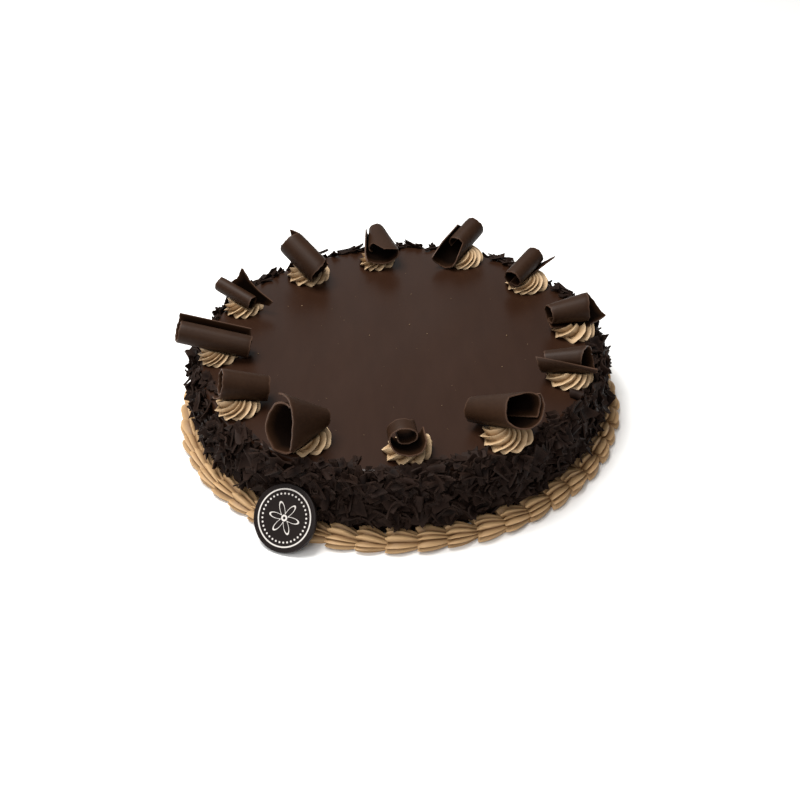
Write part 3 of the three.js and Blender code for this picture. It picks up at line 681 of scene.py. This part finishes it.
def shell_border(random, count, rows=24, columns_per_ridge=8):
    """A grid of points for each shell. Its section is an arc from the outer foot over the top to
    the inner foot, with ridges, and its size along its length rises fast over the head and falls
    slowly to the tail. The crests reach back at the head as ragged tips. Gives the points and how
    near each is to a crest."""
    columns = SHELL_RIDGES * columns_per_ridge + 1
    share = np.linspace(0, 1, rows)[None, :, None] ** 1.25
    across_share = np.linspace(0, 1, columns)[None, None, :]
    angle = SHELL_FOOT + (pi - 2 * SHELL_FOOT) * across_share
    size = one_each(random, count, 0.93, 1.04)
    full = size * np.interp(share, SHELL_WAY, SHELL_FULL)
    moved = one_each(random, count, 0, 1) + one_each(random, count, -0.15, 0.45) * share
    uneven = (0.18 * np.sin(2 * angle + one_each(random, count, 0, 6))
              + 0.14 * np.sin(5 * angle + one_each(random, count, 0, 6)))
    phase = 2 * pi * (SHELL_RIDGES * across_share + moved + uneven)
    crest = ridge_shape(phase, skew=0.34, power=0.75)
    ribbed = 1 + np.interp(share, GROOVE_WAY, GROOVE_DEPTH) * (crest - 0.68)
    drawn_aside = one_each(random, count, -1, 1) * share
    across = SHELL_HALF_WIDTH * full * ribbed * np.cos(angle) + drawn_aside
    up = SHELL_HALF_HEIGHT * full * (ribbed * np.sin(angle) + SHELL_RAISED)
    tip = SHELL_TIP * (crest - 0.4) * np.interp(share, (0, 0.06, 0.2), (1, 0.75, 0))
    ahead = SHELL_LENGTH * size * share - tip + one_each(random, count, -0.7, 0.7)
    ring = BORDER_RING + across
    turn = 2 * pi * np.arange(count)[:, None, None] / count + ahead / BORDER_RING
    points = np.stack([
        ring * np.cos(turn), ring * np.sin(turn), np.maximum(up, 0) + 0 * turn], -1)
    points[:, :, [0, -1], 2] = 0
    # crest is also the mask for the painted highlight on the crests.
    return points, crest + 0 * turn


shells, crest = shell_border(np.random.default_rng(3), BORDER_SHELLS)
_, shell_rows, shell_columns, _ = shells.shape
head_middles = shells[:, 2].mean(1)
head_middles[:, 2] *= 0.8
ends = np.stack([head_middles, shells[:, -1].mean(1)], 1)
shells = np.concatenate([shells.reshape(BORDER_SHELLS, -1, 3), ends], 1)
crest = np.concatenate([crest.reshape(BORDER_SHELLS, -1), np.zeros((BORDER_SHELLS, 2))], 1)
shell_faces = outward(shells[0], capped_faces(shell_rows, shell_columns))
offsets = (np.arange(BORDER_SHELLS) * shells.shape[1])[:, None, None]
border = new_piece(
    "cream_shell_border", shells.reshape(-1, 3),
    [(part[None] + offsets).reshape(-1, part.shape[1]) for part in shell_faces],
    border_cream, crease=75, values={"crest": crest})
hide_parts("shell_border")

# ---------------------------------------------------------------- shavings
# The side is packed with shavings of dark chocolate: flat broken flakes, thin rolls and bits,
# pressed on by hand, so they lie every way, stick out at the edge and have spilled onto the top.

# The disc that leans on the shavings, which they stay clear of.
PLAQUE_RADIUS = 19.5
PLAQUE_THICKNESS = 3.0
PLAQUE_LEAN = radians(50)
PLAQUE_FOOT = 151.0         # distance of its lower edge from the torte's axis
PLAQUE_AZIMUTH = radians(-118.5)
PLAQUE_EDGE = 0.9           # half the width of the flat part of its edge, on which it stands
PLAQUE_CLEAR = 0.15         # above the table

plaque_out = np.array([cos(PLAQUE_AZIMUTH), sin(PLAQUE_AZIMUTH), 0.0])
plaque_face = plaque_out * sin(PLAQUE_LEAN) + np.array([0, 0, cos(PLAQUE_LEAN)])
plaque_up = np.array([0, 0, 1.0]) * sin(PLAQUE_LEAN) - plaque_out * cos(PLAQUE_LEAN)
plaque_height = PLAQUE_RADIUS * sin(PLAQUE_LEAN) + PLAQUE_EDGE * cos(PLAQUE_LEAN) + PLAQUE_CLEAR
plaque_middle = (
    plaque_out * (PLAQUE_FOOT - PLAQUE_RADIUS * cos(PLAQUE_LEAN)) + [0, 0, plaque_height])

# The way that the shavings follow, from low on the side over the shoulder onto the top: the length
# walked, the distance from the torte's axis, the height, the direction out of the surface in
# degrees up, and how deep the shavings lie on one another.
WAY_WALKED = (0, 33.5, 36, 38, 40, 44)
WAY_RING = (122.6, 122.6, 121.8, 120.4, 118.6, 114.6)
WAY_HEIGHT = (9.0, 42.5, 44.8, 46.0, 46.4, 46.5)
WAY_FACING = (0, 10, 35, 62, 82, 90)
DEPTH_WALKED = (0, 6, 30, 38, 42)
DEPTH = (3.6, 5.2, 5.2, 2.8, 1.4)
WAY_END = 43.5
EDGE_PART = (35, 44)        # the part of the way that lies round the top edge

# Where the shavings end on the top: a ring with a few heaps that lie further in, each by its
# azimuth, half its width in degrees and how far in it reaches.
TOP_EDGE = 115.6
HEAPS = [(-104, 3, 8), (-83, 6, 4), (-72, 3, 2), (-41, 6, 3.5), (-8, 5, 2), (28, 4, 2),
         (200, 6, 1.5)]

SHAVING_LOWEST = 5.0
SHAVING_PROUD = 2.4         # how far one may stand above the top, and one in nine more than that
SHAVING_PROUDER = 3.2
CLEAR_OF_CURL = 5.0
CLEAR_OF_CREAM = 1.5

shaving_chocolate = food_material(
    "shaving_chocolate", dark=(0.0028, 0.0011, 0.0007), light=(0.0055, 0.0025, 0.0017),
    roughness=(0.5, 0.66), gloss=0.05, blotch=160, grain=700, share=0.4, bump=0.08)
mix_towards(shaving_chocolate, "tone", (0.0165, 0.0088, 0.0063), 0.9)
# Painted highlight: the shavings' rims are lightened, as if their edges caught the light.
mix_towards(shaving_chocolate, "rim", (0.030, 0.0175, 0.013), 0.4)


def flake_grids(random, count, rows, columns, length, width, bend, thickness):
    """Broken flakes as grids of points, both sides. A flake tapers and slants along its length,
    often to a point, and is bent to a circle round a line along it. Also marks its rim, which is
    thinner and is lightened as a painted highlight."""
    along = np.linspace(-1, 1, rows)[None, :, None]
    across = np.linspace(-1, 1, columns)[None, None, :]
    half_length = one_each(random, count, *length) / 2
    half_width = one_each(random, count, *width) / 2
    taper = one_each(random, count, -0.75, 0.75)
    edge = 1 + random.uniform(-0.1, 0.1, (count, rows, 1))
    end = random.uniform(-0.14, 0.14, (count, 1, columns))
    reach = half_width * across * (1 + taper * along) * edge
    run = (half_length * along * (1 + end * (np.abs(along) > 0.9))
           + one_each(random, count, -0.6, 0.6) * half_width * across)
    curve = one_each(random, count, *bend)
    turned = reach / curve
    bowed = one_each(random, count, -0.02, 0.02) * run ** 2
    middle = np.stack([run, curve * np.sin(turned), curve * (1 - np.cos(turned)) + bowed], -1)
    rim = np.maximum(np.abs(along), np.abs(across)) > 0.99
    half = thickness / 2 * np.where(rim, 0.7, 1.0)
    normal = np.stack([0 * run, -np.sin(turned), np.cos(turned) + 0 * run], -1)
    sides = np.stack([middle + normal * half[..., None], middle - normal * half[..., None]], 1)
    return sides.reshape(count, -1, 3), np.tile((rim + 0 * run).reshape(count, -1), 2)


def roll_grids(random, count, rows, columns, length, radius, thickness):
    """Thin rolls as grids of points, both sides: a sheet wound up round a line, by less than a half
    to more than a whole turn, on a radius that grows as it winds. Also marks its rim, which is
    lightened as a painted highlight."""
    along = np.linspace(-1, 1, rows)[None, :, None]
    wound = np.linspace(0, 1, columns)[None, None, :]
    angle = wound * one_each(random, count, 2.6, 7.2)
    tight = (one_each(random, count, *radius) * (0.72 + 0.45 * wound)
             * (1 + one_each(random, count, -0.2, 0.2) * along))
    half_length = one_each(random, count, *length) / 2
    cut = random.uniform(-0.2, 0.2, (count, 1, columns))
    sides = []
    for face in (0.5, -0.5):
        reach = tight + face * thickness
        sides.append(np.stack([
            half_length * along * (1 + cut * (np.abs(along) > 0.9)) + 0 * reach,
            reach * np.cos(angle), reach * np.sin(angle)], -1))
    rim = np.broadcast_to((np.abs(along) > 0.9) | (wound > 0.99), (count, rows, columns))
    return np.stack(sides, 1).reshape(count, -1, 3), np.tile(rim.reshape(count, -1), 2)


def top_edge(azimuth):
    """How near the axis shavings may lie on the top, at azimuths in radians: a wavy ring, less a
    bell curve for each heap."""
    degrees = np.degrees(azimuth)
    edge = TOP_EDGE + 1.2 * np.sin(7 * azimuth) + 0.8 * np.sin(17 * azimuth + 1)
    for at, half_width, reach in HEAPS:
        off = np.mod(degrees - at + 180, 360) - 180
        edge = edge - reach * np.exp(-(off / half_width) ** 2)
    return edge


def turn_shapes(points, angle, first, second):
    """Turns each shape by its own angle, from the first of its coordinates to the second."""
    c, s = np.cos(angle)[:, None], np.sin(angle)[:, None]
    a, b = points[..., first].copy(), points[..., second].copy()
    points[..., first], points[..., second] = a * c - b * s, a * s + b * c


def strewn(random, shapes, walked, off, lean, around):
    """Turns each shape at random, leans it by up to lean degrees from lying on the surface, and
    puts it at a random azimuth between the two in around, and at its place on the way, off the
    surface by so much."""
    count = len(shapes)
    spin, azimuth = random.uniform(0, 2 * pi, (2, count))
    azimuth = np.interp(azimuth, (0, 2 * pi), np.radians(around))
    tip, roll = np.radians(random.uniform(-1, 1, (2, count)) * lean)
    face = np.radians(np.interp(walked, WAY_WALKED, WAY_FACING))
    ring = np.interp(walked, WAY_WALKED, WAY_RING) + off * np.cos(face)
    height = np.interp(walked, WAY_WALKED, WAY_HEIGHT) + off * np.sin(face)
    points = shapes.copy()
    turn_shapes(points, spin, 0, 1)
    turn_shapes(points, tip, 1, 2)
    turn_shapes(points, roll, 2, 0)
    points = points[..., [2, 1, 0]] * np.array([1, 1, -1])
    turn_shapes(points, face, 0, 2)
    points[..., 0] += ring[:, None]
    points[..., 2] += height[:, None]
    turn_shapes(points, azimuth, 0, 1)
    return points


def kept_clear(points):
    """Which shapes stay out of the border, the rosettes, the curls, the disc and the bare top. The
    border is taken as an oval section, the disc as a flat cylinder, a rosette as a circle."""
    ring = np.hypot(points[..., 0], points[..., 1])
    height = points[..., 2]
    border_oval = ((ring - BORDER_RING - 0.8) / 6.6) ** 2 + ((height - 3.6) / 5.6) ** 2
    in_border = (border_oval < 1).any(1)
    middle = points.mean(1)
    azimuth = np.arctan2(middle[:, 1], middle[:, 0])
    too_far_in = (height.max(1) > TORTE_HEIGHT - 1) & (ring.min(1) < top_edge(azimuth))
    buried = ((ring < 119) & (height < TORTE_HEIGHT - 1)).all(1)
    from_plaque = points - plaque_middle
    off_face = from_plaque @ plaque_face
    beside = np.linalg.norm(from_plaque - off_face[..., None] * plaque_face, axis=-1)
    before_back = off_face > -PLAQUE_THICKNESS / 2 - 0.3
    in_plaque = ((beside < PLAQUE_RADIUS + 0.5) & before_back).any(1)
    prouder = np.arange(len(points)) % 9 == 0
    too_high = height.max(1) > TORTE_HEIGHT + SHAVING_PROUD + SHAVING_PROUDER * prouder
    too_low = height.min(1) < SHAVING_LOWEST
    clear = ~(in_border | too_low | too_high | too_far_in | buried | in_plaque)
    for curl, shape in zip(CURLS, curl_shapes):
        seat, _, _ = seat_frame(curl["seat"])
        cream = ROSETTE_RADIUS * curl["cream"] + CLEAR_OF_CREAM
        from_seat = np.hypot(*np.moveaxis(points[..., :2] - seat[:2], -1, 0))
        clear &= ~((from_seat < cream).any(1) & (height.max(1) > TORTE_HEIGHT + 0.5))
        closest = np.array([((shape[::7] - place) ** 2).sum(1).min() for place in middle])
        clear &= closest > CLEAR_OF_CURL ** 2
    return clear


def lay_shavings(name, random, shapes, rims, grid, on_edge=6, around=(0, 360)):
    """Strews shapes, given as plates of grid rows and columns, in layers along the way round the
    torte, one in on_edge of them round its top edge. The outer layers lean more. Makes one piece
    of those that are kept clear."""
    count = len(shapes)
    layer = random.uniform(0, 1, count)
    walked = WAY_END * random.uniform(0, 1, count) ** 1.1
    edge_walked = random.uniform(*EDGE_PART, count)
    walked = np.where(np.arange(count) % on_edge == 0, edge_walked, walked)
    off = 0.4 + np.interp(walked, DEPTH_WALKED, DEPTH) * layer
    points = strewn(random, shapes, walked, off, 12 + 36 * layer, around)
    clear = kept_clear(points)
    points, rims = points[clear], rims[clear]
    tone = np.repeat(random.uniform(0, 1, len(points))[:, None] ** 2, points.shape[1], 1)
    plate = outward(shapes[0], [plate_faces(*grid)])[0]
    offsets = (np.arange(len(points)) * points.shape[1])[:, None, None]
    faces = (plate[None] + offsets).reshape(-1, 4)
    piece = new_piece(
        name, points.reshape(-1, 3), [faces], shaving_chocolate,
        crease=40, values={"rim": rims, "tone": tone})
    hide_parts("torte")


FLAKE_GRID = (3, 5)
flake_random = np.random.default_rng(31)
flakes, flake_rims = flake_grids(
    flake_random, 2600, *FLAKE_GRID, length=(7, 14.5), width=(5.5, 10.5), bend=(4, 12),
    thickness=1.3)
lay_shavings("shaving_flakes", flake_random, flakes, flake_rims, FLAKE_GRID)

ROLL_GRID = (3, 10)
roll_random = np.random.default_rng(32)
rolls, roll_rims = roll_grids(
    roll_random, 800, *ROLL_GRID, length=(7, 13), radius=(1.5, 2.9), thickness=0.8)
lay_shavings("shaving_rolls", roll_random, rolls, roll_rims, ROLL_GRID)

BIT_GRID = (3, 3)
bit_random = np.random.default_rng(33)
bits, bit_rims = flake_grids(
    bit_random, 2000, *BIT_GRID, length=(3, 6), width=(2.2, 4.4), bend=(3, 8), thickness=1.1)
lay_shavings("shaving_bits", bit_random, bits, bit_rims, BIT_GRID, on_edge=2)

spill_random = np.random.default_rng(34)
spill, spill_rims = flake_grids(
    spill_random, 460, *FLAKE_GRID, length=(4, 9.5), width=(3, 6.5), bend=(3, 9), thickness=1.1)
lay_shavings(
    "shaving_spill", spill_random, spill, spill_rims, FLAKE_GRID, on_edge=1, around=(-118, -66))

# ---------------------------------------------------------------- crumbs
# A few pale specks of dry cream have fallen on the glaze while it was soft, and stick to it. Most
# are smaller than a millimetre.

CRUMBS = 46
CRUMB_REACH = 96.0
CRUMB_SMALLEST = 0.22
CRUMB_MORE = 0.5            # how much larger the largest is

crumb_cream = food_material(
    "crumb_cream", dark=(0.16, 0.10, 0.055), light=(0.30, 0.21, 0.13), roughness=(0.6, 0.8),
    gloss=0.1, blotch=300, grain=2500, share=0.5, bump=0.03)


def crumb_points(random):
    """Six points for each crumb, four at corners round it, one above and one below, each a little
    off, on the top of the glaze. The crumbs lie evenly over a circle, and most are very small."""
    far = CRUMB_REACH * np.sqrt(random.uniform(0, 1, (CRUMBS, 1)))
    azimuth = random.uniform(0, 2 * pi, (CRUMBS, 1))
    size = CRUMB_SMALLEST + CRUMB_MORE * random.uniform(0, 1, (CRUMBS, 1)) ** 3
    corner = np.array([[1, 0, 0], [0, 1, 0], [-1, 0, 0], [0, -1, 0], [0, 0, 0.8], [0, 0, -0.5]])
    shapes = corner * size[..., None] * random.uniform(0.6, 1.2, (CRUMBS, 6, 1))
    x, y = far * np.cos(azimuth), far * np.sin(azimuth)
    return shapes + np.stack([x, y, TORTE_HEIGHT + glaze_swell(x, y) + 0.2 * size], -1)


crumbs = crumb_points(np.random.default_rng(5))
waist = np.arange(4)
crumb_faces = np.concatenate([fan_faces(waist, 4), fan_faces(waist, 5)[:, ::-1]])
offsets = (np.arange(CRUMBS) * crumbs.shape[1])[:, None, None]
specks = new_piece(
    "cream_crumbs", crumbs.reshape(-1, 3), [(crumb_faces[None] + offsets).reshape(-1, 3)],
    crumb_cream)
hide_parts("torte")

# ---------------------------------------------------------------- disc
# A flat disc of dark chocolate with a fine pale print leans on the side at the front. The print is
# a plain ring, a ring of dots and a simple flower, all in cocoa-butter white.

PLAQUE_ROUNDING = 0.7
DISC_COLUMNS = 120

# The print's sizes, as shares of the disc's radius.
PRINT_COLOUR = (0.66, 0.62, 0.58)
PRINT_COVER = 0.92
PRINT_SOFTNESS = 0.012
RING_RADIUS, RING_HALF_WIDTH = 0.83, 0.014
DOTS, DOT_RING, DOT_RADIUS = 36, 0.70, 0.022
PETALS, PETAL_MIDDLE, PETAL_SWING, PETAL_HALF_WIDTH = 6, 0.30, 0.17, 0.02
EYE_RADIUS, EYE_HALF_WIDTH = 0.07, 0.02

plaque_chocolate = food_material(
    "plaque_chocolate", dark=(0.0060, 0.0032, 0.0026), light=(0.0090, 0.0050, 0.0042),
    roughness=(0.4, 0.5), gloss=0.2, blotch=60, grain=600, share=0.4, bump=0.04)


def print_on(material):
    """Adds the print to the disc's material, worked out from the disc's own UV map, where the
    middle is 0, 0 and the rim is 1 away: each line is a band round a distance from a curve."""
    node, link = material.node_tree.nodes, material.node_tree.links.new

    def value(operation, a, b=0.0):
        made = node.new("ShaderNodeMath")
        made.operation = operation
        for socket, given in zip(made.inputs, (a, b)):
            if isinstance(given, (int, float)):
                socket.default_value = given
            else:
                link(given, socket)
        return made.outputs["Value"]

    def distance(a, b):
        return value("SQRT", value("ADD", value("MULTIPLY", a, a), value("MULTIPLY", b, b)))

    def band(off_curve, half_width):
        edge = node.new("ShaderNodeMapRange")
        edge.interpolation_type = "SMOOTHSTEP"
        edge.inputs["From Min"].default_value = half_width + PRINT_SOFTNESS
        edge.inputs["From Max"].default_value = half_width
        link(value("ABSOLUTE", off_curve), edge.inputs["Value"])
        return edge.outputs["Result"]

    plan = node.new("ShaderNodeUVMap")
    plan.uv_map = "disc"
    split = node.new("ShaderNodeSeparateXYZ")
    link(plan.outputs["UV"], split.inputs["Vector"])
    across, along = split.outputs["X"], split.outputs["Y"]
    far = distance(across, along)
    angle = value("ARCTAN2", along, across)
    ring = band(value("SUBTRACT", far, RING_RADIUS), RING_HALF_WIDTH)
    dot_phase = value("FRACT", value("MULTIPLY", value("ADD", angle, pi), DOTS / (2 * pi)))
    round_dot = value("MULTIPLY", value("SUBTRACT", dot_phase, 0.5), DOT_RING * 2 * pi / DOTS)
    dots = band(distance(value("SUBTRACT", far, DOT_RING), round_dot), DOT_RADIUS)
    swing = value("MULTIPLY", value("COSINE", value("MULTIPLY", angle, PETALS)), PETAL_SWING)
    petal = value("ADD", PETAL_MIDDLE, swing)
    flower = band(value("SUBTRACT", far, petal), PETAL_HALF_WIDTH)
    eye = band(value("SUBTRACT", far, EYE_RADIUS), EYE_HALF_WIDTH)
    ink = value("MAXIMUM", value("MAXIMUM", ring, dots), value("MAXIMUM", flower, eye))
    mix = node.new("ShaderNodeMix")
    mix.data_type = "RGBA"
    mix.inputs["B"].default_value = (*PRINT_COLOUR, 1)
    link(value("MULTIPLY", ink, PRINT_COVER), mix.inputs["Factor"])
    link(node["colour"].outputs["Color"], mix.inputs["A"])
    link(mix.outputs["Result"], node["Principled BSDF"].inputs["Base Color"])


def disc_surface():
    """The disc's rounded profile carried round its axis, from the printed face over the rim to the
    back, and its place in the plane of the print as shares of its radius."""
    quarter = np.linspace(0, pi / 2, 5)
    bevel_out = PLAQUE_RADIUS - PLAQUE_ROUNDING + PLAQUE_ROUNDING * np.sin(quarter)
    bevel_up = PLAQUE_THICKNESS / 2 - PLAQUE_ROUNDING + PLAQUE_ROUNDING * np.cos(quarter)
    flat_radii = np.array([6, 12, 17])
    profile = np.concatenate([
        np.column_stack([flat_radii, np.full(3, PLAQUE_THICKNESS / 2)]),
        np.column_stack([bevel_out, bevel_up]),
        np.column_stack([bevel_out, -bevel_up])[::-1],
        np.column_stack([flat_radii[::-1], np.full(3, -PLAQUE_THICKNESS / 2)]),
    ])
    angle = np.linspace(0, 2 * pi, DISC_COLUMNS, endpoint=False)[None]
    across, along = profile[:, :1] * np.cos(angle), profile[:, :1] * np.sin(angle)
    rings = (
        plaque_middle
        + across[..., None] * np.cross(plaque_up, plaque_face)
        + along[..., None] * plaque_up
        + (profile[:, 1:] + 0 * angle)[..., None] * plaque_face).reshape(-1, 3)
    half = plaque_face * PLAQUE_THICKNESS / 2
    points = np.vstack([rings, plaque_middle + half, plaque_middle - half])
    plan = np.vstack([np.column_stack([across.ravel(), along.ravel()]), [[0, 0], [0, 0]]])
    return points, capped_faces(len(profile), DISC_COLUMNS), plan / PLAQUE_RADIUS


print_on(plaque_chocolate)
disc_points, disc_faces, disc_plan = disc_surface()
plaque = new_piece(
    "chocolate_disc", disc_points, outward(disc_points, disc_faces), plaque_chocolate,
    crease=60)
corners = np.zeros(len(plaque.data.loops), np.int32)
plaque.data.loops.foreach_get("vertex_index", corners)
disc_map = plaque.data.uv_layers.new(name="disc")
disc_map.data.foreach_set("uv", disc_plan[corners].astype(np.float32).ravel())
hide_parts("plaque")
